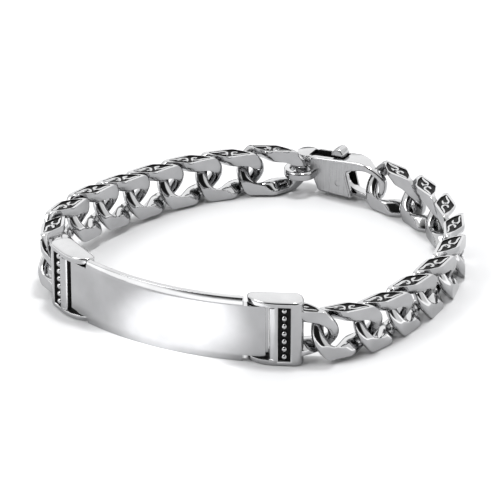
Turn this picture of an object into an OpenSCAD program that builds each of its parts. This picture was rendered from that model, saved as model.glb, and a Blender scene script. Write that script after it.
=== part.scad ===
// Identity bracelet: a curved blank plate, two end brackets, two rows of curb links and a lobster clasp.
// It stands closed on its lower edge, with the plate's outer face towards -Y. All sizes are in millimetres.

/* [Plate] */
// Radius of the plate's outer face
plate_r = 49.4; // [49.3:0.05:49.45]
// Half of the angle that the plate sweeps, in degrees
plate_half_angle = 22.2; // [22.15:0.05:22.3]
// Height of the plate and of the brackets
plate_h = 12; // [11.9:0.05:12.1]
// Thickness of the plate
plate_t = 1.7; // [1.5:0.1:1.9]
// Height of the bevels along the plate's upper and lower edges
bevel_h = 1.25; // [1.1:0.05:1.25]
// Depth of those bevels
bevel_d = 0.35; // [0.2:0.05:0.5]
// Length of the narrower tongue at each end of the plate
tongue_l = 3.9; // [3.9:0.1:4.3]

/* [Brackets] */
// Width of a bracket's frame, along the bracelet
frame_w = 5.76; // [5.6:0.02:5.9]
// Depth of a bracket from its front to its back
bracket_d = 4.2; // [4:0.1:4.4]
// How far the cheeks reach past the frame, over the plate's tongue
cheek_reach = 3.95; // [3.8:0.05:3.95]
// Thickness of each cheek
cheek_t = 1.1; // [1:0.02:1.14]
// Bevel round a bracket's edges
edge_bevel = 0.45; // [0.3:0.05:0.5]
// How far the right bracket swings inwards of the plate's end, in degrees
swing_right = 0.8; // [0.5:0.1:1.5]
// How far the left bracket swings inwards of the plate's end, in degrees
swing_left = 9.1; // [8.9:0.1:9.4]
// Number of beads in the channel
bead_count = 7; // [5:1:7]
// Diameter of a bead
bead_d = 1.15; // [1:0.05:1.2]

/* [Chain] */
// Distance between the centres of neighbouring links
link_pitch = 7.9; // [7.88:0.01:7.92]
// Height of the chain
chain_h = 8.4; // [8.3:0.05:8.4]
// Thickness of the chain, across the path
chain_t = 3.8; // [3.7:0.05:3.8]

/* [Clasp] */
// Thickness of the clasp's body
clasp_t = 4.2; // [4.1:0.05:4.3]
// Direction of the clasp, in degrees from +X
clasp_heading = -3; // [-3.2:0.1:-2.9]

/* [Hidden] */
$fn = 48;

// The working origin is the centre of the plate's arc; the middle of the whole outline lies here
centre_x = 2.73;
centre_y = -14.46;

// Colours
polished = [0.80, 0.81, 0.83];
satin = [0.70, 0.71, 0.73];

// How far a cutting shape runs past what it cuts, and the length of the longest ones
past = 1;
cut_long = 20;

// The plate's rear edges, and the room above and below its tongue, which lies between the cheeks
rear_chamfer = 0.5;
tongue_gap = 0.2;
// Room round each hinge pin
pin_gap = 0.03;
pin_r = 0.45;
// Where the end of the plate's face lies in a bracket: inwards of the outer face and behind the front
plate_end_in = 6.42;
plate_end_back = 0.95;
// Where the hinge pin stands, measured back from the end of the plate's face
pin_back = 1.0;

// Plan of a bracket: where its front starts to curve back, and the roundness of its corners. The two outer
// corners, front and rear, have one value along the bracelet and one across it
curve_start = -4.4;
back_round = 1;
front_along = 1.7;
front_across = 1.3;
rear_along = 1.5;
rear_across = 2.4;

// Channel with its beads
channel_w = 2.1;
channel_h = 10;
channel_depth = 0.6;
inner_rim = 1.5;
bead_pitch = 1.45;

// Cast half link: thinner wire at its bend, and its centre this far inside the bracket's outer face
half_link_wire = 1.15;
half_link_in = 0.5;
half_link_back = 2.45;
half_link_ornament = 0.85;
half_link_root = -1.6;

// One link: a wire ring pressed flat on four sides. Sizes of the wire's middle line
ring_a = 5.39;
ring_b = 4.2;
ring_twist = 1.57;
twist_peak = -0.2;
// Half thickness of the wire at the bends and in the bars, measured in the ring's plane and across it
bend_wire = 1.33;
bend_wire_across = 1.03;
bar_wire = 2.57;
bar_wire_across = 1.98;
// Three corners of the wire's section, in degrees from the outer side; the other three mirror them
bend_corners = [30, 90, 150];
bar_corners = [63, 108, 165];
// Sections round a ring, and how sharply a bend becomes a bar
ring_steps = 16;
bar_sharpness = 5;
// Half of the turn over which the direction of the wire is taken
wire_turn = 0.1;

// Ornament on a link's upper and lower face: a sunk panel and two raised hooks
panel = [[-3.65, -1.35], [0.95, -1.35], [2.75, 0], [3.65, 1.35], [-0.95, 1.35], [-2.75, 0]];
panel_depth = 0.26;
hook_line = [[-3.2, -1.2], [-2.1, -1], [-1, -0.92], [-0.42, -0.45], [-0.75, 0.12], [-1.55, -0.05]];
hook_w = 0.45;
hook_rise = 0.2;
hook_root = 0.1;

// Rows of links, in order from each bracket: direction of the step to the link in degrees, how far
// the link is lifted off the surface, how far its near end is raised in degrees, and its roll in degrees
STEP = 0;
LIFT = 1;
TILT = 2;
ROLL = 3;
row_right = [
    [40, 0.8, 0, 0],
    [65, 0.15, 0, 0],
    [78.5, 0.1, 0, 0],
    [84.5, 0, 0, 0],
    [95, 0, 0, 0],
    [108.5, 0, 0, 0],
    [125.5, 0, 0, 0],
    [140.5, 0.05, 0, 1],
    [156.5, 0.15, -1, 2]];
row_left = [
    [130.5, 2.35, 4, 0],
    [102, 2.45, 3.5, 0],
    [85, 2.25, 3, 0],
    [78, 1.4, 4, 0],
    [71, 0.8, 0.5, 0],
    [61.5, 0.5, 0.5, 0],
    [50.5, 0.2, 0, 0],
    [38, 0.25, 0, -6]];
// Headings that the last link of each row turns towards
last_right = 172.5;
last_left = 15;

// Clasp: its front left corner in plan, then outlines seen from the front, as distance along and height
clasp_place = [-2.52, 16.15];
body_line = [
    [0.6, 0.75], [7.6, 0.75], [6.3, 5.6], [6.6, 6], [8.1, 6.4], [9.7, 6.8], [11, 6.7], [12.2, 6.3],
    [12.95, 5.7], [13.25, 5], [13.2, 2.9], [14, 2.8], [14.4, 4], [14.55, 5.3], [14.3, 6.2], [12.6, 7.3],
    [10.9, 8], [9.3, 8.35], [7.2, 8.2], [4.7, 7.9], [2, 7.6], [-1.1, 7.3], [-2, 6.6]];
lever_line = [
    [3.7, 2.4], [4.9, 1.4], [8, 0.7], [11, 0.5], [12.4, 0.7], [12.75, 1.3], [12.9, 2], [13, 2.8],
    [12.5, 2.7], [11.8, 1.8], [10.6, 1.5], [8.8, 1.75], [7.2, 2.1], [6.2, 2.9], [5.9, 4.1], [5.5, 4.9],
    [5.45, 6.4], [5.35, 8.7], [4.8, 9.4], [4.1, 9.6], [3.4, 9.3], [2.9, 8.6], [2.75, 6.2], [3.4, 5.5],
    [3.8, 4]];
// The lever's knob is wider than the rest of it, from this front and this height up
knob_front = 0.8;
knob_low = 8.2;
// The hook is thinned from its back: depth of its back at a distance along the clasp
hook_back = [[7.5, 4.2], [9.8, 3.2], [12, 1.45], [14.6, 1.05]];
// Slot for the lever with its shallow end at the left, the lever's own place and thickness, and its pivot
slot_front = 0.9;
slot_w = 2.6;
slot_start = -0.2;
slot_end = 5.7;
slot_floor = 2;
shallow_start = -1.7;
shallow_floor = 6.4;
arm_start = 3;
arm_l = 6;
arm_top = 5.2;
lever_front = 1.5;
lever_t = 1.9;
pivot = [4.8, 3.3];
rivet_r = 0.55;
rivet_sunk = 0.05;
// Flat eye at the clasp's left end, round the last link's bend
eye_centre = [-2.7, -0.45];
eye_r = 3.1;
eye_hole_r = 1.8;
eye_low = 3.4;
eye_h = 1.6;
// Round shoulder of the body above the eye
shoulder_centre = [-2.5, 2.15];
shoulder_r = 2.05;
shoulder_low = 5.95;
shoulder_h = 1.25;

function turned(p, angle) = [p.x * cos(angle) - p.y * sin(angle), p.x * sin(angle) + p.y * cos(angle)];
function unit(v) = v / norm(v);

// Brackets: a local frame with x away from the plate, y towards the back, from the outer front edge
function bracket_heading(side) = side > 0 ? plate_half_angle + swing_right : -plate_half_angle - swing_left;
function plate_end(side) = [side * plate_r * sin(plate_half_angle), -plate_r * cos(plate_half_angle)];
function bracket_origin(side) =
    plate_end(side) - turned([-side * plate_end_in, plate_end_back], bracket_heading(side));
function half_link_centre(side) =
    bracket_origin(side) + turned([-side * half_link_in, half_link_back], bracket_heading(side));

// Where each link stands: its centre in plan, stepping along its row
function link_centre(row, start, i) =
    i < 0 ? start : link_centre(row, start, i - 1)
        + link_pitch * [cos(row[i][STEP]), sin(row[i][STEP])];
function link_heading(row, last, i) =
    let (next = i + 1 < len(row) ? row[i + 1][STEP] : last)
    (row[i][STEP] + next) / 2;

// The twisted ring, section by section. hand is 1 for the chain's own twist and -1 for its mirror image
function ring_middle(u, hand) =
    [ring_a * cos(u), -hand * ring_twist * sin(2 * u) * (1 + twist_peak * cos(2 * u)), ring_b * sin(u)];
function ring_section(u, hand, wire, across) =
    let (
        along = unit(ring_middle(u + wire_turn, hand) - ring_middle(u - wire_turn, hand)),
        out_raw = [cos(u) / ring_a, 0, sin(u) / ring_b],
        out = unit(out_raw - along * (out_raw * along)),
        side = cross(along, out),
        bar = pow(abs(sin(u)), bar_sharpness),
        half_in = wire + (bar_wire - wire) * bar,
        half_across = across + (bar_wire_across - across) * bar,
        turns = bend_corners + (bar_corners - bend_corners) * bar)
    [for (v = [turns[0], turns[1], turns[2], 360 - turns[2], 360 - turns[1], 360 - turns[0]])
        ring_middle(u, hand) + out * half_in * cos(v) + side * half_across * sin(v)];

module ring(hand, wire, across) {
    sides = 6;
    sections = [for (i = [0 : ring_steps - 1]) ring_section(360 * i / ring_steps, hand, wire, across)];
    points = [for (s = sections) each s];
    faces = [for (i = [0 : ring_steps - 1]) for (j = [0 : sides - 1])
        let (
            next = (i + 1) % ring_steps,
            a = i * sides + j,
            b = i * sides + (j + 1) % sides,
            c = next * sides + j,
            d = next * sides + (j + 1) % sides)
        each [[a, c, b], [b, c, d]]];
    intersection() {
        polyhedron(points, faces);
        cube([4 * ring_a, chain_t, chain_h], center = true);
    }
}

module panel_cut(hand) {
    translate([0, 0, chain_h / 2 - panel_depth])
        linear_extrude(panel_depth + past)
            polygon([for (p = panel) [p.x, -hand * p.y]]);
}

module panel_hooks(hand) {
    for (turn = [0, 180])
        rotate([0, 0, turn])
            for (i = [1 : len(hook_line) - 1])
                hull()
                    for (p = [hook_line[i - 1], hook_line[i]])
                        translate([p.x, -hand * p.y, chain_h / 2 - panel_depth - hook_root])
                            cylinder(h = hook_rise + hook_root, d = hook_w, $fn = 4);
}

// A link round its own centre, with x along the path
module curb_link(hand = 1, wire = bend_wire, across = bend_wire_across, ornament = 1) {
    difference() {
        ring(hand, wire, across);
        for (flip = [0, 180])
            rotate([0, flip, 0])
                scale([ornament, ornament, 1])
                    difference() {
                        panel_cut(hand);
                        panel_hooks(hand);
                    }
    }
}

module link_at(row, start, last, i) {
    place = link_centre(row, start, i);
    color(polished)
        translate([place.x - centre_x, place.y - centre_y, chain_h / 2 + row[i][LIFT]])
            rotate([0, 0, link_heading(row, last, i)])
                rotate([row[i][ROLL], row[i][TILT], 0])
                    curb_link();
}

module link_r(i) {
    link_at(row_right, half_link_centre(1), last_right, i - 1);
}

module link_l(i) {
    link_at(row_left, half_link_centre(-1), last_left, i - 2);
}

module placed() {
    translate([-centre_x, -centre_y, 0])
        children();
}

// The plate: a bevelled bar turned round the arc's centre, cut to a narrower tongue at each end
module plate_sector(start, turn, section) {
    rotate([0, 0, start - 90])
        rotate_extrude(angle = turn, $fn = 256)
            polygon(section);
}

module id_plate() {
    back = plate_r - plate_t;
    tongue_low = cheek_t + tongue_gap;
    shoulder = plate_half_angle - tongue_l / plate_r * 180 / PI;
    color(polished)
        placed()
            difference() {
                plate_sector(-plate_half_angle, 2 * plate_half_angle, [
                    [back, rear_chamfer],
                    [back + rear_chamfer, 0],
                    [plate_r - bevel_d, 0],
                    [plate_r, bevel_h],
                    [plate_r, plate_h - bevel_h],
                    [plate_r - bevel_d, plate_h],
                    [back + rear_chamfer, plate_h],
                    [back, plate_h - rear_chamfer]]);
                for (start = [shoulder, -2 * plate_half_angle])
                    for (low = [-past, plate_h - tongue_low])
                        plate_sector(start, 2 * plate_half_angle - shoulder, [
                            [back - past, low],
                            [plate_r + past, low],
                            [plate_r + past, low + past + tongue_low],
                            [back - past, low + past + tongue_low]]);
                for (side = [-1, 1])
                    pin_place(side)
                        cylinder(h = plate_h, r = pin_r + pin_gap);
            }
}

// A pin's place: in the middle of the tongue's thickness, pin_back from its end
module pin_place(side) {
    turn = plate_half_angle - pin_back / plate_r * 180 / PI;
    radius = plate_r - plate_t / 2;
    translate([side * radius * sin(turn), -radius * cos(turn), 0])
        children();
}

module hinge_pin(side) {
    color(polished)
        placed()
            pin_place(side)
                translate([0, 0, cheek_t / 2])
                    cylinder(h = plate_h - cheek_t, r = pin_r);
}

module bracket_block() {
    hull() {
        translate([0, 0, edge_bevel])
            linear_extrude(plate_h - 2 * edge_bevel)
                polygon(bracket_outline(0));
        linear_extrude(plate_h)
            polygon(bracket_outline(edge_bevel));
    }
}

// Plan of a bracket, drawn in by inset all round: x from the cheeks' tip to the outer face, y to the back
function bracket_outline(inset) =
    let (
        tip = -frame_w - cheek_reach,
        curve_depth = bracket_d - inset - back_round)
    concat(
        [for (a = [0 : 15 : 90])
            [curve_start + (tip + inset - curve_start) * sin(a),
                inset + (curve_depth - inset) * (1 - cos(a))]],
        [for (a = [30 : 30 : 90])
            [tip + inset + back_round * (1 - cos(a)), bracket_d - inset - back_round * (1 - sin(a))]],
        [for (a = [0 : 45 : 90])
            [-inset - (rear_along - inset) * (1 - sin(a)),
                bracket_d - inset - (rear_across - inset) * (1 - cos(a))]],
        [for (a = [0 : 30 : 90])
            [-inset - (front_along - inset) * (1 - cos(a)),
                inset + (front_across - inset) * (1 - sin(a))]]);

module bracket(side) {
    heading = bracket_heading(side);
    origin = bracket_origin(side);
    channel_x = -frame_w + inner_rim;
    color(polished)
        placed()
            difference() {
                translate([origin.x, origin.y, 0])
                    rotate([0, 0, heading])
                        scale([side, 1, 1]) {
                            difference() {
                                bracket_block();
                                translate([-cut_long - frame_w, -past, cheek_t])
                                    cube([cut_long, bracket_d + 2 * past, plate_h - 2 * cheek_t]);
                                translate([channel_x, -past, (plate_h - channel_h) / 2])
                                    cube([channel_w, past + channel_depth, channel_h]);
                            }
                            for (i = [0 : bead_count - 1])
                                translate([
                                    channel_x + channel_w / 2,
                                    channel_depth,
                                    plate_h / 2 + (i - (bead_count - 1) / 2) * bead_pitch])
                                    sphere(d = bead_d, $fn = 14);
                            half_link(side);
                        }
                pin_place(side)
                    translate([0, 0, cheek_t / 2 - pin_gap])
                        rotate([0, 0, heading])
                            cylinder(h = plate_h - cheek_t + 2 * pin_gap, r = pin_r + pin_gap);
            }
}

// The outer part of a link, cast on to the bracket's outer face
module half_link(side) {
    difference() {
        translate([-half_link_in, half_link_back, plate_h / 2])
            curb_link(side, half_link_wire, bend_wire_across, half_link_ornament);
        translate([half_link_root - cut_long, -cut_long / 2, -past])
            cube([cut_long, cut_long, plate_h + 2 * past]);
    }
}

// Clasp: a local frame with x along it, y from its front to its back, z up from the surface it stands on
module clasp_placed() {
    placed()
        translate([clasp_place.x, clasp_place.y, 0])
            rotate([0, 0, clasp_heading])
                children();
}

module from_front(line, start, depth) {
    translate([0, start + depth, 0])
        rotate([90, 0, 0])
            linear_extrude(depth)
                polygon(line);
}

module across_clasp(radius, gap) {
    translate([pivot.x, clasp_t - gap, pivot.y])
        rotate([90, 0, 0])
            cylinder(h = clasp_t - 2 * gap, r = radius);
}

module clasp_body() {
    color(satin)
        clasp_placed()
            difference() {
                union() {
                    intersection() {
                        from_front(body_line, 0, clasp_t);
                        linear_extrude(plate_h)
                            polygon(concat([[-cut_long, 0], [-cut_long, clasp_t]], hook_back,
                                [[hook_back[3].x, 0]]));
                    }
                    translate([eye_centre.x, eye_centre.y, eye_low])
                        cylinder(h = eye_h, r = eye_r);
                    translate([shoulder_centre.x, shoulder_centre.y, shoulder_low])
                        cylinder(h = shoulder_h, r = shoulder_r);
                }
                translate([eye_centre.x, eye_centre.y, 0])
                    cylinder(h = shoulder_low, r = eye_hole_r);
                translate([slot_start, slot_front, slot_floor])
                    cube([slot_end - slot_start, slot_w, plate_h]);
                translate([shallow_start, slot_front, shallow_floor])
                    cube([slot_end - shallow_start, slot_w, plate_h]);
                translate([arm_start, slot_front, -past])
                    cube([arm_l, slot_w, past + arm_top]);
                across_clasp(rivet_r + pin_gap, -past);
            }
}

module clasp_lever() {
    color(polished)
        clasp_placed()
            difference() {
                union() {
                    from_front(lever_line, lever_front, lever_t);
                    intersection() {
                        from_front(lever_line, knob_front, lever_front + lever_t - knob_front);
                        translate([0, 0, knob_low])
                            cube([cut_long, cut_long, plate_h]);
                    }
                }
                across_clasp(rivet_r + pin_gap, -past);
            }
}

module clasp_pin() {
    color(polished)
        clasp_placed()
            across_clasp(rivet_r, rivet_sunk);
}

id_plate();
bracket(1);  // bracket_right
bracket(-1);  // bracket_left
hinge_pin(1);  // hinge_pin_right
hinge_pin(-1);  // hinge_pin_left
for (i = [1 : 9])
    link_r(i);
for (i = [2 : 9])
    link_l(i);
clasp_body();
clasp_lever();
clasp_pin();
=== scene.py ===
import math

import bmesh
import bpy
from mathutils import Matrix, Vector


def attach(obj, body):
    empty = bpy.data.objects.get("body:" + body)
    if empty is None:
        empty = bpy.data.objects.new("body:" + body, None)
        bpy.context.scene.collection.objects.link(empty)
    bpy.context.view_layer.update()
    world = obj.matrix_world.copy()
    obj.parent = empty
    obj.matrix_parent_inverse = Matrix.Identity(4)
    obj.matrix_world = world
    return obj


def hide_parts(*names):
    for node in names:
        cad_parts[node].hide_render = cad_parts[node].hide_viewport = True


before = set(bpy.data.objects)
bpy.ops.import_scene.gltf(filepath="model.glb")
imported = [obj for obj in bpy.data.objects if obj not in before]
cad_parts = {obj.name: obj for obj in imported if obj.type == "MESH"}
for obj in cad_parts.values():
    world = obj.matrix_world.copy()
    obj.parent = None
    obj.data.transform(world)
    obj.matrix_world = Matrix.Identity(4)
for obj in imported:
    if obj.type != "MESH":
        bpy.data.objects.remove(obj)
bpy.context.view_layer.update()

print("stage 1: frame loaded")

# Shapes are drawn in millimetres and turned into metres when a piece is finished.
metre = 0.001
loopCentre = Vector((2.73, -14.46))  # middle of the whole outline, from the plate's centre of curvature
pastSolid = 1  # how far a cutter reaches past the shape that it cuts
cutNear = 1e-5  # points nearer than this to a cutting plane lie on it
chainSharp, plainSharp = 38, 30  # edges that turn more degrees than this stay sharp


def turned(point, degrees):
    c, s = math.cos(math.radians(degrees)), math.sin(math.radians(degrees))
    return Vector((point[0] * c - point[1] * s, point[0] * s + point[1] * c))


def arcSteps(step, start=0):
    # the sine and cosine of every step degrees up to a right angle
    return [(math.sin(math.radians(a)), math.cos(math.radians(a))) for a in range(start, 91, step)]


def roundedLoop(points, radius, steps, smoothTurn=0, sideShare=0.48):
    # corners that turn less than smoothTurn are rounded as far as their sides allow
    loop = []
    for i, p in enumerate(points):
        corner = Vector(p)
        back = Vector(points[i - 1]) - corner
        ahead = Vector(points[(i + 1) % len(points)]) - corner
        turn = 180 - math.degrees(back.angle(ahead))
        free = turn < smoothTurn
        start = corner + back * (sideShare if free else min(radius / back.length, sideShare))
        end = corner + ahead * (sideShare if free else min(radius / ahead.length, sideShare))
        for k in range(steps):
            t = k / (steps - 1)
            loop.append(start * (1 - t) ** 2 + corner * 2 * t * (1 - t) + end * t ** 2)
    return loop


def throughPoints(points, steps):
    # a smooth open line through the given points
    line = []
    ends = [points[0]] + list(points) + [points[-1]]
    for i in range(1, len(ends) - 2):
        a, b, c, d = (Vector(p) for p in ends[i - 1:i + 3])
        for k in range(steps):
            t = k / steps
            line.append(0.5 * (2 * b + (c - a) * t + (2 * a - 5 * b + 4 * c - d) * t ** 2
                               + (3 * b - a - 3 * c + d) * t ** 3))
    line.append(Vector(points[-1]))
    return line


def makePiece(name, data):
    piece = bpy.data.objects.new(name, data)
    bpy.context.scene.collection.objects.link(piece)
    return piece


def meshOf(name, points, faces, material, near=1e-4):
    # points nearer to each other than near become one, and faces turn outwards
    mesh = bpy.data.meshes.new(name)
    mesh.from_pydata([tuple(p) for p in points], [], [tuple(f) for f in faces])
    mesh.materials.append(material)
    work = bmesh.new()
    work.from_mesh(mesh)
    if near:
        bmesh.ops.remove_doubles(work, verts=work.verts, dist=near)
        bmesh.ops.dissolve_degenerate(work, edges=work.edges, dist=near)
    bmesh.ops.recalc_face_normals(work, faces=work.faces)
    work.to_mesh(mesh)
    work.free()
    return mesh


def gridFaces(rows, columns, closedRows):
    faces = []
    for i in range(rows if closedRows else rows - 1):
        for j in range(columns):
            a, b = i * columns + j, i * columns + (j + 1) % columns
            c, d = ((i + 1) % rows) * columns + j, ((i + 1) % rows) * columns + (j + 1) % columns
            faces.append((a, c, d, b))
    return faces


def settle(piece):
    # the modifiers' result becomes the piece's own plain mesh
    depsgraph = bpy.context.evaluated_depsgraph_get()
    mesh = bpy.data.meshes.new_from_object(piece.evaluated_get(depsgraph))
    piece.modifiers.clear()
    piece.data = mesh
    return piece


def carve(piece, cutter, operation="DIFFERENCE"):
    change = piece.modifiers.new("carve", "BOOLEAN")
    change.operation = operation
    change.solver = "EXACT"
    change.material_mode = "TRANSFER"
    change.object = cutter
    settle(piece)
    bpy.data.objects.remove(cutter)
    return piece


def softenEdges(piece, width, segments, degrees):
    change = piece.modifiers.new("edges", "BEVEL")
    change.width = width
    change.segments = segments
    change.limit_method = "ANGLE"
    change.angle_limit = math.radians(degrees)
    change.use_clamp_overlap = False
    change.harden_normals = True
    return settle(piece)


def boxPiece(low, high, material):
    points = [(x, y, z) for x in (low[0], high[0]) for y in (low[1], high[1])
              for z in (low[2], high[2])]
    faces = [(0, 1, 3, 2), (4, 6, 7, 5), (0, 4, 5, 1), (2, 3, 7, 6), (0, 2, 6, 4), (1, 5, 7, 3)]
    return makePiece("cutter", meshOf("cutter", points, faces, material))


def stacked(name, loops, material):
    # loops of equal length, each a list of 3-D points, joined and capped
    count = len(loops[0])
    faces = gridFaces(len(loops), count, False)
    last = (len(loops) - 1) * count
    faces.append(tuple(range(count)))
    faces.append(tuple(last + j for j in range(count)))
    return makePiece(name, meshOf(name, [p for loop in loops for p in loop], faces, material))


def prism(name, outline, low, high, material, upright=True):
    # upright: drawn in plan and raised along Z; otherwise drawn from the front, with its depth along Y
    loops = [[(p[0], p[1], z) if upright else (p[0], z, p[1]) for p in outline] for z in (low, high)]
    return stacked(name, loops, material)


def circle(centre, radius, count):
    angles = [2 * math.pi * i / count for i in range(count)]
    return [(centre[0] + radius * math.cos(a), centre[1] + radius * math.sin(a)) for a in angles]


def inwardLines(loop):
    # at each point of an outline, the direction square to it and inwards
    area = sum(a.x * b.y - b.x * a.y for a, b in zip(loop, loop[1:] + loop[:1])) / 2
    lines = []
    for i in range(len(loop)):
        along = (loop[(i + 1) % len(loop)] - loop[i - 1]).normalized()
        lines.append(Vector((-along.y, along.x)) * (1 if area > 0 else -1))
    return lines


def insetLoop(loop, widths):
    # each point moves inwards by its own width
    return [p + inwards * width for p, inwards, width in zip(loop, inwardLines(loop), widths)]


def roomAcross(loop, i, inwards, parallel=1e-9, nearest=1e-4):
    # how far the outline's other side lies from point i
    p, count = loop[i], len(loop)
    room = math.inf
    for k in range(count):
        if k in (i, (i - 1) % count):
            continue
        a = loop[k]
        side = loop[(k + 1) % count] - a
        cross = inwards.x * side.y - inwards.y * side.x
        if abs(cross) < parallel:
            continue
        reach = ((a - p).x * side.y - (a - p).y * side.x) / cross
        spot = ((a - p).x * inwards.y - (a - p).y * inwards.x) / cross
        if reach > nearest and 0 <= spot <= 1:
            room = min(room, reach)
    return room


def rimWidths(loop, rim, share=0.3, rounds=4):
    # the rim is narrower where the shape itself is narrow
    count = len(loop)
    widths = [min(rim, roomAcross(loop, i, inwards) * share) for i, inwards in enumerate(inwardLines(loop))]
    for turn in range(rounds):
        widths = [min(widths[i], (widths[i - 1] + widths[i] + widths[(i + 1) % count]) / 3)
                  for i in range(count)]
    return widths


def roundedSlab(name, loop, start, depth, rim, steps, material):
    # a slab drawn from the front, with rounded front and back edges
    widths = rimWidths(loop, rim)
    arcs = [90 * k / steps for k in range(steps + 1)]
    front = [(rim * (1 - math.cos(math.radians(a))), 1 - math.sin(math.radians(a))) for a in arcs]
    back = [(depth - y, share) for y, share in reversed(front)]
    loops = []
    for y, share in front + back:
        inner = insetLoop(loop, [w * share for w in widths])
        loops.append([(p.x, start + y, p.y) for p in inner])
    return stacked(name, loops, material)


def joinInto(piece, others):
    # the others' meshes are added to the piece's own
    for other in others:
        for material in other.data.materials:
            if material.name not in piece.data.materials:
                piece.data.materials.append(material)
    work = bmesh.new()
    work.from_mesh(piece.data)
    for other in others:
        slots = [piece.data.materials.find(m.name) for m in other.data.materials]
        start = len(work.faces)
        work.from_mesh(other.data)
        work.faces.ensure_lookup_table()
        for face in work.faces[start:]:
            face.material_index = slots[face.material_index]
        bpy.data.objects.remove(other)
    work.to_mesh(piece.data)
    work.free()
    return piece


def finishPiece(piece, place, body, nodes, sharpAngle):
    # to its place in the bracelet's frame and to metres, then on to its body
    piece.data.transform(Matrix.Scale(metre, 4) @ place)
    if place.determinant() < 0:
        piece.data.flip_normals()
    piece.data.shade_smooth()
    piece.data.set_sharp_from_angle(angle=math.radians(sharpAngle))
    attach(piece, body)
    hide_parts(*nodes)
    return piece


# Materials: every one reads Object coordinates, in metres.
steelLook = {"bright": 0.42, "shade": 0.36, "gloss": 0.06, "dull": 0.11, "cloudPerMetre": 160,
             "scratchPerMetre": 2600, "scratchStretch": (0.12, 1, 1), "scratchTurn": (8, 14, 31),
             "scratchDetail": 2, "scratchDepth": 0.000002}
satinLook = {"bright": 0.44, "shade": 0.38, "gloss": 0.26, "dull": 0.38, "strokePerMetre": 5200,
             "strokeStretch": (1, 1, 0.04), "strokeTurn": (0, 9, 0), "strokeDepth": 0.000006}
blackLook = {"bright": 0.014, "shade": 0.003, "roughness": 0.6, "shine": 0.1, "grainPerMetre": 3000,
             "grainDetail": 4, "grainDepth": 0.00002}
steelTint = (1, 1.003, 1.015)  # red, green and blue of a grey that is very slightly cool


def newMaterial(name):
    material = bpy.data.materials.new(name)
    material.use_nodes = True
    tree = material.node_tree
    return material, tree, tree.nodes["Principled BSDF"]


def noiseNode(tree, scale, stretch=(1, 1, 1), turn=(0, 0, 0), detail=3):
    place = tree.nodes.new("ShaderNodeTexCoord")
    mapping = tree.nodes.new("ShaderNodeMapping")
    mapping.inputs["Scale"].default_value = stretch
    mapping.inputs["Rotation"].default_value = [math.radians(a) for a in turn]
    noise = tree.nodes.new("ShaderNodeTexNoise")
    noise.inputs["Scale"].default_value = scale
    noise.inputs["Detail"].default_value = detail
    tree.links.new(place.outputs["Object"], mapping.inputs["Vector"])
    tree.links.new(mapping.outputs["Vector"], noise.inputs["Vector"])
    return noise.outputs["Fac"]


def greyRamp(tree, source, shade, bright, target, low=0.35, high=0.65):
    ramp = tree.nodes.new("ShaderNodeValToRGB")
    for stop, position, grey in zip(ramp.color_ramp.elements, (low, high), (shade, bright)):
        stop.position = position
        stop.color = [grey * tint for tint in steelTint] + [1]
    tree.links.new(source, ramp.inputs["Fac"])
    tree.links.new(ramp.outputs["Color"], target)


def spread(tree, source, low, high, target, start=0.3, end=0.7):
    # noise between start and end becomes a value between low and high
    change = tree.nodes.new("ShaderNodeMapRange")
    change.inputs["From Min"].default_value = start
    change.inputs["From Max"].default_value = end
    change.inputs["To Min"].default_value = low
    change.inputs["To Max"].default_value = high
    tree.links.new(source, change.inputs["Value"])
    tree.links.new(change.outputs["Result"], target)


def relief(tree, source, depth, shader):
    bump = tree.nodes.new("ShaderNodeBump")
    bump.inputs["Distance"].default_value = depth
    bump.inputs["Strength"].default_value = 1
    tree.links.new(source, bump.inputs["Height"])
    tree.links.new(bump.outputs["Normal"], shader.inputs["Normal"])


def makePolishedSteel(look):
    material, tree, shader = newMaterial("polishedSteel")
    shader.inputs["Metallic"].default_value = 1.0
    cloud = noiseNode(tree, look["cloudPerMetre"])
    greyRamp(tree, cloud, look["shade"], look["bright"], shader.inputs["Base Color"])
    spread(tree, cloud, look["gloss"], look["dull"], shader.inputs["Roughness"])
    scratch = noiseNode(tree, look["scratchPerMetre"], look["scratchStretch"], look["scratchTurn"],
                        look["scratchDetail"])
    relief(tree, scratch, look["scratchDepth"], shader)
    return material


def makeSatinSteel(look):
    material, tree, shader = newMaterial("satinSteel")
    shader.inputs["Metallic"].default_value = 1.0
    stroke = noiseNode(tree, look["strokePerMetre"], look["strokeStretch"], look["strokeTurn"])
    greyRamp(tree, stroke, look["shade"], look["bright"], shader.inputs["Base Color"])
    spread(tree, stroke, look["gloss"], look["dull"], shader.inputs["Roughness"])
    relief(tree, stroke, look["strokeDepth"], shader)
    return material


# near-black: the real blackened finish in the links' panels and the brackets' channels, and painted shade
# where it lines the brackets' mouths and the clasp's slot and rivet bore
def makeBlackenedFinishAndPaintedShade(look):
    material, tree, shader = newMaterial("blackenedRecessAndPaintedShade")
    shader.inputs["Roughness"].default_value = look["roughness"]
    shader.inputs["Specular IOR Level"].default_value = look["shine"]
    grain = noiseNode(tree, look["grainPerMetre"], detail=look["grainDetail"])
    greyRamp(tree, grain, look["shade"], look["bright"], shader.inputs["Base Color"])
    relief(tree, grain, look["grainDepth"], shader)
    return material


polishedSteel = makePolishedSteel(steelLook)
satinSteel = makeSatinSteel(satinLook)
blackenedRecessAndPaintedShade = makeBlackenedFinishAndPaintedShade(blackLook)
print("stage 2: materials made")

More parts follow.
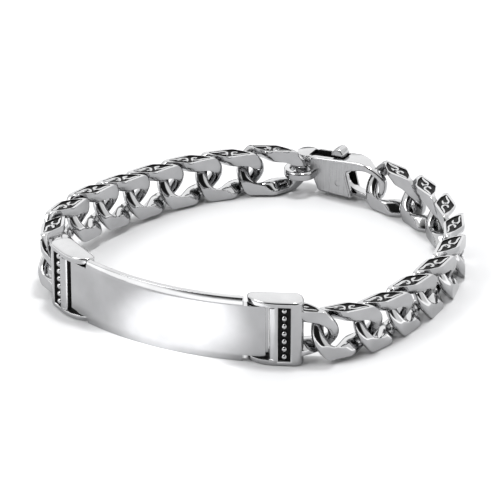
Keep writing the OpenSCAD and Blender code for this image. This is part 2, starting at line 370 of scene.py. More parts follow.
# Curb link: a twisted ring of wire, pressed flat on four sides. A sunk panel with two scrolls is carved
# above and below. Angles are in degrees.
linkShape = {
    "ringLong": 5.39, "ringHigh": 4.2, "twist": 1.57, "twistPeak": -0.2,
    "barWire": 2.57, "barAcross": 1.98, "barSharpness": 5,
    "wireCorners": (30, 90, 150), "barCorners": (63, 108, 165),  # one half, mirrored for the other
    "chainHigh": 8.4, "chainThick": 3.8, "pressRound": 0.26, "crown": 0.006,
    "cornerRound": 0.5, "cornerSteps": 4, "stepsRound": 144,
    "panel": [(-3.7, -1.43), (0.95, -1.4), (2.75, 0), (3.7, 1.43), (-0.95, 1.4), (-2.75, 0)],
    "panelRound": 0.4, "panelSteps": 5, "panelDepth": 0.26,
    "scroll": [(-3.25, -1.25), (-2.1, -1.02), (-1.05, -0.98), (-0.34, -0.5), (-0.62, 0.2), (-1.5, 0.02)],
    "scrollSteps": 6, "scrollWide": 0.5, "scrollRise": 0.25,
    "scrollSide": [(-0.5, -0.2), (-0.36, 0.85), (-0.3, 1)],  # in shares of its width and of its rise
    "scrollTip": 0.35, "scrollTaper": 6}
chainLink = {"wire": 1.33, "across": 1.03, "ornament": 1.0}
castHalfLink = {"wire": 1.15, "across": 1.03, "ornament": 0.85, "inside": 0.5, "behindFront": 2.45,
                "root": -1.6}


def ringMiddle(u, hand):
    s = linkShape
    return Vector((s["ringLong"] * math.cos(u),
                   -hand * s["twist"] * math.sin(2 * u) * (1 + s["twistPeak"] * math.cos(2 * u)),
                   s["ringHigh"] * math.sin(u)))


def pressed(value, limit):
    # values past the limit stay at it, with a rounded edge and a face that is crowned very slightly
    size, ease = abs(value), linkShape["pressRound"]
    if size > limit + ease:
        size = limit + (size - limit - ease) * linkShape["crown"]
    elif size > limit - ease:
        size = limit - (limit + ease - size) ** 2 / (4 * ease)
    return math.copysign(size, value)


def ringSection(u, hand, kind, step=0.002):
    # the wire's section at the angle u: a hexagon with soft corners, larger in the upper and lower bars
    s = linkShape
    along = (ringMiddle(u + step, hand) - ringMiddle(u - step, hand)).normalized()
    outRaw = Vector((math.cos(u) / s["ringLong"], 0, math.sin(u) / s["ringHigh"]))
    out = (outRaw - along * outRaw.dot(along)).normalized()
    side = along.cross(out)
    bar = abs(math.sin(u)) ** s["barSharpness"]
    halfIn = kind["wire"] + (s["barWire"] - kind["wire"]) * bar
    halfAcross = kind["across"] + (s["barAcross"] - kind["across"]) * bar
    angles = [wire + (flat - wire) * bar for wire, flat in zip(s["wireCorners"], s["barCorners"])]
    angles += [360 - a for a in reversed(angles)]
    corners = [(halfIn * math.cos(math.radians(a)), halfAcross * math.sin(math.radians(a)))
               for a in angles]
    loop = roundedLoop(corners, s["cornerRound"], s["cornerSteps"])
    middle = ringMiddle(u, hand)
    points = [middle + out * p.x + side * p.y for p in loop]
    return [(p.x, pressed(p.y, s["chainThick"] / 2), pressed(p.z, s["chainHigh"] / 2)) for p in points]


def scrollRidge(hand, size, half, above):
    # one hooked scroll with a flat top, standing on the panel's floor
    s = linkShape
    line = throughPoints([(x * half * size, -hand * y * half * size) for x, y in s["scroll"]],
                         s["scrollSteps"])
    floorHeight = s["chainHigh"] / 2 - s["panelDepth"]
    section = s["scrollSide"] + [(-x, z) for x, z in reversed(s["scrollSide"])]
    loops = []
    for i, p in enumerate(line):
        ahead, back = line[min(i + 1, len(line) - 1)], line[max(i - 1, 0)]
        across = (ahead - back).normalized().orthogonal()
        share = i / (len(line) - 1)
        slim = min(1, s["scrollTip"] + s["scrollTaper"] * min(share, 1 - share))
        spots = [(p + across * (x * s["scrollWide"] * slim * size), floorHeight + z * s["scrollRise"])
                 for x, z in section]
        loops.append([(q.x, q.y, z) for q, z in spots])
    ridge = stacked("scroll", loops, polishedSteel)
    if not above:
        ridge.data.transform(Matrix.Rotation(math.pi, 4, "Y"))
    return ridge


def makeLink(name, hand, kind):
    s = linkShape
    sections = [ringSection(2 * math.pi * i / s["stepsRound"], hand, kind) for i in range(s["stepsRound"])]
    points = [p for section in sections for p in section]
    faces = gridFaces(len(sections), len(sections[0]), True)
    link = makePiece(name, meshOf(name, points, faces, polishedSteel, 0))
    size = kind["ornament"]
    outline = roundedLoop([(x * size, -hand * y * size) for x, y in s["panel"]], s["panelRound"],
                          s["panelSteps"])
    top = s["chainHigh"] / 2
    for above in (True, False):
        cutter = prism("cutter", outline, top - s["panelDepth"], top + pastSolid, blackenedRecessAndPaintedShade)
        if not above:
            cutter.data.transform(Matrix.Rotation(math.pi, 4, "Y"))
        carve(link, cutter)
    ridges = [scrollRidge(hand, size, half, above) for half in (1, -1) for above in (True, False)]
    return joinInto(link, ridges)


# Rows of links, from each bracket to the clasp. For each link: the direction of the step to it in degrees,
# its height above the surface, its tilt and its roll in degrees. The ends are the directions that the
# last links turn to.
rowShape = {
    "pitch": 7.9, "linkSize": 1.0,
    "right": [(40, 0.8, 0, 0), (65, 0.15, 0, 0), (78.5, 0.1, 0, 0), (84.5, 0, 0, 0), (95, 0, 0, 0),
              (108.5, 0, 0, 0), (125.5, 0, 0, 0), (140.5, 0.05, 0, 1), (156.5, 0.15, -1, 2)],
    "rightEnd": 172.5,
    "left": [(130.5, 2.35, 4, 0), (102, 2.45, 3.5, 0), (85, 2.25, 3, 0), (78, 1.4, 4, 0), (71, 0.8, 0.5, 0),
             (61.5, 0.5, 0.5, 0), (50.5, 0.2, 0, 0), (38, 0.25, 0, -6)],
    "leftEnd": 15}
plateShape = {
    "radius": 49.4, "halfAngle": 22.2, "high": 12, "thick": 1.7, "bevelHigh": 1.25, "bevelDeep": 0.35,
    "rearChamfer": 0.5, "edgeRound": 0.12, "edgeSteps": 4, "stepsAlong": 96,
    "tongue": 3.9, "tongueLow": 1.3, "tongueSteps": 12, "pinBack": 1.0, "pinBore": 0.48, "boreSteps": 32,
    "lip": 0.5, "lipBack": 0.4, "lipThick": 0.7, "lipLower": 0.15, "lipRound": 0.2,
    "lipRoot": 0.6}  # how many degrees of the lip lie inside the tongue
bracketShape = {
    "frameWide": 5.76, "deep": 4.2, "cheekReach": 3.95, "cheekThick": 1.1, "curveStart": -4.4,
    "backRound": 1.0, "frontAlong": 1.7, "frontAcross": 1.3, "rearAlong": 1.5, "rearAcross": 2.4,
    "curveStep": 6, "cornerStep": 15,
    "edge": 0.45, "edgeRound": 0.14, "edgeSegments": 3, "edgeAngle": 40,
    "swingRight": 0.8, "swingLeft": 9.1, "plateEndIn": 6.42, "plateEndBack": 0.95,
    "rimAlong": 1.1, "rimAcross": 0.3, "rimSteps": 6, "rimPast": 0.3,
    "rimEdge": [(0, 0.55), (0.05, 0.38), (0.15, 0.27)],
    "innerRim": 1.5, "channelWide": 2.1, "channelHigh": 10, "channelDeep": 0.6,
    "beads": 7, "beadPitch": 1.45, "beadWide": 1.15, "beadSegments": 20, "beadRings": 12}


def bracketHeading(side):
    swing = bracketShape["swingRight"] if side > 0 else bracketShape["swingLeft"]
    return side * (plateShape["halfAngle"] + swing)


def bracketOrigin(side):
    b, turn = bracketShape, math.radians(plateShape["halfAngle"])
    plateEnd = Vector((side * math.sin(turn), -math.cos(turn))) * plateShape["radius"]
    return plateEnd - turned((-side * b["plateEndIn"], b["plateEndBack"]), bracketHeading(side)) - loopCentre


def rowPlaces(side):
    row = rowShape["right" if side > 0 else "left"]
    end = rowShape["rightEnd" if side > 0 else "leftEnd"]
    middle = (-side * castHalfLink["inside"], castHalfLink["behindFront"])
    spot = bracketOrigin(side) + turned(middle, bracketHeading(side))
    places = []
    for i, (step, lift, tilt, roll) in enumerate(row):
        spot = spot + turned((rowShape["pitch"], 0), step)
        following = row[i + 1][0] if i + 1 < len(row) else end
        places.append(((spot.x, spot.y, linkShape["chainHigh"] / 2 + lift),
                       (math.radians(roll), math.radians(tilt), math.radians((step + following) / 2))))
    return places


def makeRowTree():
    # one link stands on each point of the row, turned as the point says
    tree = bpy.data.node_groups.new("chainRow", "GeometryNodeTree")
    face = tree.interface
    face.new_socket("Geometry", in_out="INPUT", socket_type="NodeSocketGeometry")
    linkSocket = face.new_socket("Link", in_out="INPUT", socket_type="NodeSocketObject")
    steelSocket = face.new_socket("Steel", in_out="INPUT", socket_type="NodeSocketMaterial")
    recessSocket = face.new_socket("Recess", in_out="INPUT", socket_type="NodeSocketMaterial")
    sizeSocket = face.new_socket("Link Size", in_out="INPUT", socket_type="NodeSocketFloat")
    face.new_socket("Geometry", in_out="OUTPUT", socket_type="NodeSocketGeometry")
    start, end = tree.nodes.new("NodeGroupInput"), tree.nodes.new("NodeGroupOutput")
    info = tree.nodes.new("GeometryNodeObjectInfo")
    turn = tree.nodes.new("GeometryNodeInputNamedAttribute")
    turn.data_type = "FLOAT_VECTOR"
    turn.inputs["Name"].default_value = "turn"
    toRotation = tree.nodes.new("FunctionNodeEulerToRotation")
    place = tree.nodes.new("GeometryNodeInstanceOnPoints")
    real = tree.nodes.new("GeometryNodeRealizeInstances")
    sunk = tree.nodes.new("GeometryNodeMaterialSelection")
    rest = tree.nodes.new("FunctionNodeBooleanMath")
    rest.operation = "NOT"
    paint = tree.nodes.new("GeometryNodeSetMaterial")
    join = tree.links.new
    join(start.outputs["Link"], info.inputs["Object"])
    join(start.outputs["Geometry"], place.inputs["Points"])
    join(info.outputs["Geometry"], place.inputs["Instance"])
    join(start.outputs["Link Size"], place.inputs["Scale"])
    join(turn.outputs["Attribute"], toRotation.inputs["Euler"])
    join(toRotation.outputs["Rotation"], place.inputs["Rotation"])
    join(place.outputs["Instances"], real.inputs["Geometry"])
    join(start.outputs["Recess"], sunk.inputs["Material"])
    join(sunk.outputs["Selection"], rest.inputs[0])
    join(real.outputs["Geometry"], paint.inputs["Geometry"])
    join(rest.outputs["Boolean"], paint.inputs["Selection"])
    join(start.outputs["Steel"], paint.inputs["Material"])
    join(paint.outputs["Geometry"], end.inputs["Geometry"])
    return tree, {"link": linkSocket.identifier, "steel": steelSocket.identifier,
                  "recess": recessSocket.identifier, "size": sizeSocket.identifier}


def makeRow(name, side, link, tree, sockets, nodes):
    places = rowPlaces(side)
    points = bpy.data.meshes.new(name)
    points.from_pydata([p for p, turn in places], [], [])
    turns = points.attributes.new("turn", "FLOAT_VECTOR", "POINT")
    for i, (p, turn) in enumerate(places):
        turns.data[i].vector = turn
    row = makePiece(name, points)
    grow = row.modifiers.new("links", "NODES")
    grow.node_group = tree
    grow[sockets["link"]] = link
    grow[sockets["steel"]] = polishedSteel
    grow[sockets["recess"]] = blackenedRecessAndPaintedShade
    grow[sockets["size"]] = rowShape["linkSize"]
    settle(row)
    return finishPiece(row, Matrix.Identity(4), "bracelet", nodes, chainSharp)


link = makeLink("linkPattern", 1, chainLink)
rowTree, rowSockets = makeRowTree()
makeRow("chainRowRight", 1, link, rowTree, rowSockets, ["link_r%d" % i for i in range(1, 10)])
makeRow("chainRowLeft", -1, link, rowTree, rowSockets, ["link_l%d" % i for i in range(2, 10)])
bpy.data.objects.remove(link)
print("stage 3: link rows made")


def alongArc(name, stops):
    # sections of (radius, height) stand at their angles on the plate's arc
    loops = []
    for degrees, section in stops:
        a = math.radians(degrees)
        loops.append([(p.x * math.sin(a), -p.x * math.cos(a), p.y) for p in section])
    return stacked(name, loops, polishedSteel)


def makeLip(side):
    # the thinner end of a tongue, set back from its face
    s = plateShape
    face, foot = s["radius"] - s["lipBack"], s["tongueLow"] + s["lipLower"]
    back, top = face - s["lipThick"], s["high"] - foot
    corners = [(back, foot), (face, foot), (face, top), (back, top)]
    section = roundedLoop(corners, s["lipRound"], s["edgeSteps"])
    ends = (s["halfAngle"] - s["lipRoot"], s["halfAngle"] + math.degrees(s["lip"] / s["radius"]))
    return alongArc("lip", [(side * degrees, section) for degrees in ends])


def borePin(plate, side):
    s = plateShape
    turn = side * (math.radians(s["halfAngle"]) - s["pinBack"] / s["radius"])
    middle = s["radius"] - s["thick"] / 2
    bore = circle((middle * math.sin(turn), -middle * math.cos(turn)), s["pinBore"], s["boreSteps"])
    carve(plate, prism("cutter", bore, -pastSolid, s["high"] + pastSolid, polishedSteel))


def makePlate():
    s = plateShape
    back, low = s["radius"] - s["thick"], s["tongueLow"]
    corners = [(back, s["rearChamfer"]), (back + s["rearChamfer"], 0), (s["radius"] - s["bevelDeep"], 0),
               (s["radius"], s["bevelHigh"]), (s["radius"], s["high"] - s["bevelHigh"]),
               (s["radius"] - s["bevelDeep"], s["high"]), (back + s["rearChamfer"], s["high"]),
               (back, s["high"] - s["rearChamfer"])]
    full = roundedLoop(corners, s["edgeRound"], s["edgeSteps"])
    narrow = [Vector((p.x, min(max(p.y, low), s["high"] - low))) for p in full]
    end = s["halfAngle"]
    shoulder = end - math.degrees(s["tongue"] / s["radius"])
    tongue = [(shoulder + (end - shoulder) * k / s["tongueSteps"], narrow)
              for k in range(s["tongueSteps"] + 1)]
    stops = [(-degrees, section) for degrees, section in reversed(tongue)]
    stops += [(shoulder * (2 * i / s["stepsAlong"] - 1), full) for i in range(s["stepsAlong"] + 1)]
    plate = alongArc("idPlateBlank", stops + tongue)
    for side in (1, -1):
        borePin(plate, side)
    joinInto(plate, [makeLip(side) for side in (1, -1)])
    place = Matrix.Translation((-loopCentre.x, -loopCentre.y, 0))
    return finishPiece(plate, place, "bracelet", ["id_plate"], plainSharp)


def bracketOutline(inset):
    # the plan of the cheeks and the frame: the curve over the tongue, then the three round corners
    b = bracketShape
    tip, start, backRound = inset - b["frameWide"] - b["cheekReach"], b["curveStart"], b["backRound"]
    front, back, side = inset, b["deep"] - inset, -inset
    curveDeep = back - backRound - front
    loop = [(start + (tip - start) * s, front + curveDeep * (1 - c)) for s, c in arcSteps(b["curveStep"])]
    step = b["cornerStep"]
    loop += [(tip + backRound * (1 - c), back - backRound * (1 - s)) for s, c in arcSteps(step, step)]
    along, across = b["rearAlong"] - inset, b["rearAcross"] - inset
    loop += [(side - along * (1 - s), back - across * (1 - c)) for s, c in arcSteps(step)]
    along, across = b["frontAlong"] - inset, b["frontAcross"] - inset
    loop += [(side - along * (1 - c), front + across * (1 - s)) for s, c in arcSteps(step)]
    return loop


def makeBead(spot):
    b = bracketShape
    work = bmesh.new()
    bmesh.ops.create_uvsphere(work, u_segments=b["beadSegments"], v_segments=b["beadRings"],
                              radius=b["beadWide"] / 2)
    bmesh.ops.translate(work, verts=work.verts, vec=spot)
    mesh = bpy.data.meshes.new("bead")
    work.to_mesh(mesh)
    work.free()
    mesh.materials.append(polishedSteel)
    return makePiece("bead", mesh)


def makeFrame(name):
    # the casting's cheeks and frame, with its mouth for the tongue and its rounded inner rim
    b, high = bracketShape, plateShape["high"]
    rises = [(b["edge"] * (1 - c), b["edge"] * (1 - s)) for s, c in arcSteps(b["cornerStep"])]
    levels = rises + [(high - z, inset) for z, inset in reversed(rises)]
    loops = [[(x, y, z) for x, y in bracketOutline(inset)] for z, inset in levels]
    block = stacked(name, loops, polishedSteel)
    edge, low, top = -b["frameWide"], b["cheekThick"], high - b["cheekThick"]
    # the cut between the cheeks takes the near-black: painted shade on the mouth's inner walls
    carve(block, boxPiece((edge - b["cheekReach"] - pastSolid, -pastSolid, low),
                          (edge, b["deep"] + pastSolid, top), blackenedRecessAndPaintedShade))
    slope = [(edge + along, across) for along, across in b["rimEdge"]]
    shares = [k / b["rimSteps"] for k in range(1, b["rimSteps"] + 1)]
    slope += [(edge + b["rimAlong"] * share, b["rimAcross"] * (1 - share)) for share in shares]
    outside = [(edge - b["rimPast"], -pastSolid), (edge - b["rimPast"], slope[0][1])]
    rounding = outside + slope + [(edge + b["rimAlong"], -pastSolid)]
    return carve(block, prism("cutter", rounding, low, top, polishedSteel))


def makeHalfLink(side):
    # a link cut at its root, where it is cast to the frame
    c = castHalfLink
    half = makeLink("castHalfLink", side, c)
    work = bmesh.new()
    work.from_mesh(half.data)
    cut = bmesh.ops.bisect_plane(work, geom=work.verts[:] + work.edges[:] + work.faces[:], dist=cutNear,
                                 plane_co=(c["root"] + c["inside"], 0, 0), plane_no=(-1, 0, 0),
                                 clear_outer=True)
    bmesh.ops.holes_fill(work, edges=[e for e in cut["geom_cut"] if isinstance(e, bmesh.types.BMEdge)])
    bmesh.ops.translate(work, verts=work.verts, vec=(-c["inside"], c["behindFront"], plateShape["high"] / 2))
    work.to_mesh(half.data)
    work.free()
    return half


def makeBracket(name, side, node):
    b, middle = bracketShape, plateShape["high"] / 2
    block = makeFrame(name)
    start = b["innerRim"] - b["frameWide"]
    carve(block, boxPiece((start, -pastSolid, middle - b["channelHigh"] / 2),
                          (start + b["channelWide"], b["channelDeep"], middle + b["channelHigh"] / 2),
                          blackenedRecessAndPaintedShade))
    softenEdges(block, b["edgeRound"], b["edgeSegments"], b["edgeAngle"])
    beads = [makeBead((start + b["channelWide"] / 2, b["channelDeep"],
                       middle + (i - (b["beads"] - 1) / 2) * b["beadPitch"])) for i in range(b["beads"])]
    joinInto(block, beads + [makeHalfLink(side)])
    spot = bracketOrigin(side)
    place = (Matrix.Translation((spot.x, spot.y, 0))
             @ Matrix.Rotation(math.radians(bracketHeading(side)), 4, "Z")
             @ Matrix.Diagonal((side, 1, 1, 1)))
    return finishPiece(block, place, "bracelet", [node], chainSharp)


makePlate()
makeBracket("beadedBracketRight", 1, "bracket_right")
makeBracket("beadedBracketLeft", -1, "bracket_left")
print("stage 4: plate and brackets made")

# Lobster clasp, in its own frame: x along it, y from its front to its back.
claspShape = {
    "corner": (-2.52, 16.15), "heading": -3, "thick": 4.2, "rim": 0.42,
    "bodyRound": 0.45, "freeTurn": 42, "roundSteps": 5, "rimSteps": 5,
    "body": [(0.6, 0.75), (7.6, 0.75), (6.3, 5.6), (6.6, 6), (8.1, 6.4), (9.7, 6.8), (11, 6.7),
             (12.2, 6.3), (12.95, 5.7), (13.25, 5), (13.2, 2.9), (14, 2.8), (14.4, 4), (14.55, 5.3),
             (14.3, 6.2), (12.6, 7.3), (10.9, 8), (9.3, 8.35), (7.2, 8.2), (4.7, 7.9), (2, 7.6),
             (-1.1, 7.3), (-2, 6.6)],
    "hookBack": [(7.5, 4.2), (9.8, 3.2), (12, 1.45), (14.6, 1.05)],
    "slotFront": 0.9, "slotWide": 2.6, "slotStart": -0.2, "slotEnd": 5.7, "slotFloor": 2, "slotTop": 12,
    "shallowStart": -1.7, "shallowFloor": 6.4, "armStart": 3, "armLong": 6, "armTop": 5.2,
    "pivot": (4.8, 3.3), "rivet": 0.55, "rivetRoom": 0.03, "boreSteps": 32,
    "eyeCentre": (-2.7, -0.45), "eyeOuter": 3.1, "eyeHole": 1.8, "eyeLow": 3.4, "eyeHigh": 1.6,
    "eyeRound": 0.5, "eyeRoundSteps": 6, "eyeSteps": 72, "holeSteps": 64,
    "shoulderCentre": (-2.5, 2.15), "shoulderWide": 2.05, "shoulderLow": 5.95, "shoulderHigh": 7.2,
    "shoulderEdge": 0.252, "shoulderEase": 0.3,
    "satinFacing": 0.85, "satinArea": 2}  # flat faces larger than this, toward the front or the back
leverShape = {
    "front": 1.5, "thick": 1.9, "edge": 0.2, "edgeSteps": 4, "round": 0.3, "roundSteps": 5,
    "outline": [(3.7, 2.4), (4.9, 1.4), (8, 0.7), (11, 0.5), (12.4, 0.7), (12.75, 1.3), (12.9, 2),
                (13, 2.8), (12.5, 2.7), (11.8, 1.8), (10.6, 1.5), (8.8, 1.75), (7.2, 2.1), (6.2, 2.9),
                (5.9, 4.1), (5.5, 4.9), (5.45, 6.4), (5.35, 8.7), (4.8, 9.4), (4.1, 9.6), (3.4, 9.3),
                (2.9, 8.6), (2.75, 6.2), (3.4, 5.5), (3.8, 4)],
    "knobFront": 0.8, "knobShort": 0.02, "knobEdge": 0.3, "knobEdgeSteps": 3,
    "knobRound": 0.15, "knobRoundSteps": 4,
    "knob": [(2.87, 8.2), (5.38, 8.2), (5.35, 8.7), (4.8, 9.4), (4.1, 9.6), (3.4, 9.3), (2.9, 8.6)]}
claspCorner = Vector(claspShape["corner"]) - loopCentre
claspPlace = (Matrix.Translation((claspCorner.x, claspCorner.y, 0))
              @ Matrix.Rotation(math.radians(claspShape["heading"]), 4, "Z"))


def makeEye():
    # the flat eye: a rounded rectangle turned round the eye's centre
    s = claspShape
    hole, outer, low, high = s["eyeHole"], s["eyeOuter"], s["eyeLow"], s["eyeLow"] + s["eyeHigh"]
    section = roundedLoop([(hole, low), (outer, low), (outer, high), (hole, high)], s["eyeRound"],
                          s["eyeRoundSteps"])
    points = []
    for i in range(s["eyeSteps"]):
        a = 2 * math.pi * i / s["eyeSteps"]
        points += [(s["eyeCentre"][0] + p.x * math.cos(a), s["eyeCentre"][1] + p.x * math.sin(a), p.y)
                   for p in section]
    faces = gridFaces(s["eyeSteps"], len(section), True)
    return makePiece("eye", meshOf("eye", points, faces, polishedSteel))


def thinHook(mesh):
    # the hook is thinned from its back, evenly between the stops that hookBack gives
    s = claspShape
    work = bmesh.new()
    work.from_mesh(mesh)
    for x, deep in s["hookBack"]:
        bmesh.ops.bisect_plane(work, geom=work.verts[:] + work.edges[:] + work.faces[:], dist=cutNear,
                               plane_co=(x, 0, 0), plane_no=(1, 0, 0))
    for v in work.verts:
        if v.co.x <= s["hookBack"][0][0] or v.co.y <= s["rim"]:
            continue
        for (x0, y0), (x1, y1) in zip(s["hookBack"], s["hookBack"][1:]):
            if x0 <= v.co.x <= x1:
                deep = y0 + (y1 - y0) * (v.co.x - x0) / (x1 - x0)
                v.co.y = s["rim"] + (v.co.y - s["rim"]) * (deep - s["rim"]) / (s["thick"] - s["rim"])
    work.to_mesh(mesh)
    work.free()


def makeShoulder():
    # the round shoulder above the eye, with a soft upper edge
    s = claspShape
    high, edge, ease = s["shoulderHigh"], s["shoulderEdge"], s["shoulderEdge"] * s["shoulderEase"]
    loops = []
    for z, inset in ((s["shoulderLow"], 0), (high - edge, 0), (high - ease, ease), (high, edge)):
        ring = circle(s["shoulderCentre"], s["shoulderWide"] - inset, s["holeSteps"])
        loops.append([(x, y, z) for x, y in ring])
    return stacked("shoulder", loops, polishedSteel)


def boreRivet(piece, material):
    s = claspShape
    bore = circle(s["pivot"], s["rivet"] + s["rivetRoom"], s["boreSteps"])
    carve(piece, prism("cutter", bore, -pastSolid, s["thick"] + pastSolid, material, False))


def hollowClasp(body):
    # the deep slot for the lever, its shallow start, and the room that the lever's arm turns in; their cut
    # faces are painted near-black as shade
    s = claspShape
    front, back, top = s["slotFront"], s["slotFront"] + s["slotWide"], s["slotTop"]
    slotEnd, armEnd = s["slotEnd"], s["armStart"] + s["armLong"]
    for low, high in (((s["slotStart"], front, s["slotFloor"]), (slotEnd, back, top)),
                      ((s["shallowStart"], front, s["shallowFloor"]), (slotEnd, back, top)),
                      ((s["armStart"], front, -pastSolid), (armEnd, back, s["armTop"]))):
        carve(body, boxPiece(low, high, blackenedRecessAndPaintedShade))


def makeClaspBody():
    s = claspShape
    outline = roundedLoop(s["body"], s["bodyRound"], s["roundSteps"], s["freeTurn"])
    body = roundedSlab("claspBody", outline, 0, s["thick"], s["rim"], s["rimSteps"], polishedSteel)
    thinHook(body.data)
    carve(body, makeShoulder(), "UNION")
    eyeHole = circle(s["eyeCentre"], s["eyeHole"], s["holeSteps"])
    carve(body, prism("cutter", eyeHole, -pastSolid, s["shoulderLow"], polishedSteel))
    hollowClasp(body)
    # the rivet's bore in the body is painted near-black as shade
    boreRivet(body, blackenedRecessAndPaintedShade)
    mesh = body.data
    mesh.materials.append(satinSteel)
    satin = mesh.materials.find(satinSteel.name)
    for face in mesh.polygons:
        flat = abs(face.normal.y) > s["satinFacing"] and face.area > s["satinArea"]
        if flat and face.material_index == 0:
            face.material_index = satin
    joinInto(body, [makeEye()])
    return finishPiece(body, claspPlace, "bracelet", ["clasp_body"], plainSharp)


def makeLever():
    s = leverShape
    outline = roundedLoop(s["outline"], s["round"], s["roundSteps"], claspShape["freeTurn"])
    lever = roundedSlab("claspLever", outline, s["front"], s["thick"], s["edge"], s["edgeSteps"],
                        polishedSteel)
    boreRivet(lever, polishedSteel)
    knobDeep = s["front"] + s["thick"] - s["knobFront"] - s["knobShort"]
    knob = roundedSlab("knob", roundedLoop(s["knob"], s["knobRound"], s["knobRoundSteps"]), s["knobFront"],
                       knobDeep, s["knobEdge"], s["knobEdgeSteps"], polishedSteel)
    joinInto(lever, [knob])
    return finishPiece(lever, claspPlace, "lever", ["clasp_lever"], plainSharp)


makeClaspBody()
makeLever()
# the rivet and the hinge pins stay the plain solids of the CAD part
for node, material in (("clasp_pin", satinSteel), ("hinge_pin_right", polishedSteel),
                       ("hinge_pin_left", polishedSteel)):
    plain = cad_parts[node]
    plain.data.materials.clear()
    plain.data.materials.append(material)
print("stage 5: clasp made")

# Studio, in metres and degrees: a pale floor, lamps and a bright sky. The sky has a dark patch behind the
# camera, a glow below that, and a bright back over a dim horizon. From and To are cosines of the angle
# from a patch's middle. The sky's heights are sines of the angle above the floor. The camera's target and
# distance are in millimetres.
studio = {"floorHalf": 3, "floorGrey": 0.6, "floorShade": 0.01, "floorPerMetre": 40, "floorRough": 0.5,
          "floorShine": 0.2,
          "skyBright": 1.4, "skyDark": 0.02, "azimuth": 27, "darkElevation": 24, "darkFrom": 0.6,
          "darkTo": 0.82, "glowBelow": 0.1, "glowEnd": 0.2, "glowBright": 2.6,
          "backElevation": 20, "backBright": 1.9, "backFrom": 0.6, "backTo": 0.85,
          "horizonBright": 0.2, "horizonLow": 0.12, "horizonHigh": 0.3,
          "keyPlace": (-0.45, -0.5, 0.8), "keySize": 0.4, "keyWatts": 4,
          "topPlace": (0.05, 0.15, 1), "topSize": 0.15, "topWatts": 6,
          "spotPlace": (0.02, -0.2, 0.35), "spotTarget": (-0.002, -0.048, 0), "spotAngle": 6,
          "spotRadius": 0.003, "spotWatts": 20}
cameraShape = {"target": (-5.46, 5.02, 0), "elevation": 27, "azimuth": 27, "distance": 700, "lens": 283.2,
               "sensor": 36, "near": 0.01, "far": 20}


def towards(azimuth, elevation):
    # a direction by its angle round from the front and its angle above the floor
    a, e = math.radians(azimuth), math.radians(elevation)
    return Vector((math.sin(a) * math.cos(e), -math.cos(a) * math.cos(e), math.sin(e)))


def makeFloor():
    half = studio["floorHalf"]
    corners = [(-half, -half, 0), (half, -half, 0), (half, half, 0), (-half, half, 0)]
    material, tree, shader = newMaterial("paleFloor")
    shader.inputs["Roughness"].default_value = studio["floorRough"]
    shader.inputs["Specular IOR Level"].default_value = studio["floorShine"]
    greyRamp(tree, noiseNode(tree, studio["floorPerMetre"]), studio["floorGrey"] - studio["floorShade"],
             studio["floorGrey"], shader.inputs["Base Color"])
    floor = makePiece("studioFloor", meshOf("studioFloor", corners, [(0, 1, 2, 3)], material))
    if floor.data.polygons[0].normal.z < 0:
        floor.data.flip_normals()


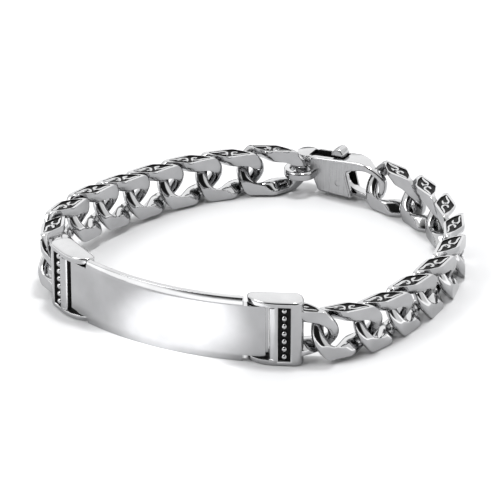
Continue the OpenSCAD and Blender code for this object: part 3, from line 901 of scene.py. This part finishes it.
def makeSky():
    world = bpy.data.worlds.new("studioSky")
    bpy.context.scene.world = world
    world.use_nodes = True
    tree = world.node_tree
    join = tree.links.new
    place = tree.nodes.new("ShaderNodeTexCoord")
    parts = tree.nodes.new("ShaderNodeSeparateXYZ")
    join(place.outputs["Generated"], parts.inputs[0])

    def nearness(azimuth, elevation):
        aim = tree.nodes.new("ShaderNodeVectorMath")
        aim.operation = "DOT_PRODUCT"
        aim.inputs[1].default_value = towards(azimuth, elevation)
        join(place.outputs["Generated"], aim.inputs[0])
        return aim.outputs["Value"]

    def eased(source, low, high):
        share = tree.nodes.new("ShaderNodeMapRange")
        share.interpolation_type = "SMOOTHSTEP"
        share.inputs["From Min"].default_value = low
        share.inputs["From Max"].default_value = high
        join(source, share.inputs["Value"])
        return share.outputs["Result"]

    def product(first, second):
        both = tree.nodes.new("ShaderNodeMath")
        both.operation = "MULTIPLY"
        join(first, both.inputs[0])
        join(second, both.inputs[1])
        return both.outputs["Value"]

    def blend(share, start, end):
        mix = tree.nodes.new("ShaderNodeMix")
        join(share, mix.inputs[0])
        for socket, value in ((mix.inputs[2], start), (mix.inputs[3], end)):
            if isinstance(value, bpy.types.NodeSocket):
                join(value, socket)
            else:
                socket.default_value = value
        return mix.outputs[0]

    s, high = studio, parts.outputs["Z"]
    back = eased(nearness(s["azimuth"] + 180, s["backElevation"]), s["backFrom"], s["backTo"])
    behind = blend(eased(high, s["horizonLow"], s["horizonHigh"]), s["horizonBright"], s["backBright"])
    aboveGlow = eased(high, s["glowBelow"], s["glowEnd"])
    sky = blend(back, blend(aboveGlow, s["glowBright"], s["skyBright"]), behind)
    patch = eased(nearness(s["azimuth"], s["darkElevation"]), s["darkFrom"], s["darkTo"])
    color = blend(product(patch, aboveGlow), sky, s["skyDark"])
    join(color, tree.nodes["Background"].inputs["Color"])


def aimed(name, data, place, target):
    # a lamp or a camera at its place, looking at its target
    holder = makePiece(name, data)
    holder.location = place
    holder.rotation_euler = (Vector(target) - Vector(place)).to_track_quat("-Z", "Y").to_euler()
    return holder


def makeSoftBox(name, place, size, watts):
    light = bpy.data.lights.new(name, "AREA")
    light.shape = "SQUARE"
    light.size = size
    light.energy = watts
    aimed(name, light, place, (0, 0, 0))


def makeSpot(name):
    s = studio
    light = bpy.data.lights.new(name, "SPOT")
    light.energy = s["spotWatts"]
    light.spot_size = math.radians(s["spotAngle"])
    light.spot_blend = 1
    light.shadow_soft_size = s["spotRadius"]
    aimed(name, light, s["spotPlace"], s["spotTarget"])


def makeCamera():
    c = cameraShape
    camera = bpy.data.cameras.new("photoCamera")
    camera.lens, camera.sensor_width = c["lens"], c["sensor"]
    camera.clip_start, camera.clip_end = c["near"], c["far"]
    target = Vector(c["target"]) * metre
    place = target + towards(c["azimuth"], c["elevation"]) * c["distance"] * metre
    bpy.context.scene.camera = aimed("photoCamera", camera, place, target)


makeFloor()
makeSky()
makeSoftBox("keyBox", studio["keyPlace"], studio["keySize"], studio["keyWatts"])
makeSoftBox("topBox", studio["topPlace"], studio["topSize"], studio["topWatts"])
makeSpot("frontSpot")
makeCamera()
bpy.context.scene.view_settings.view_transform = "Standard"
print("stage 6: studio made")
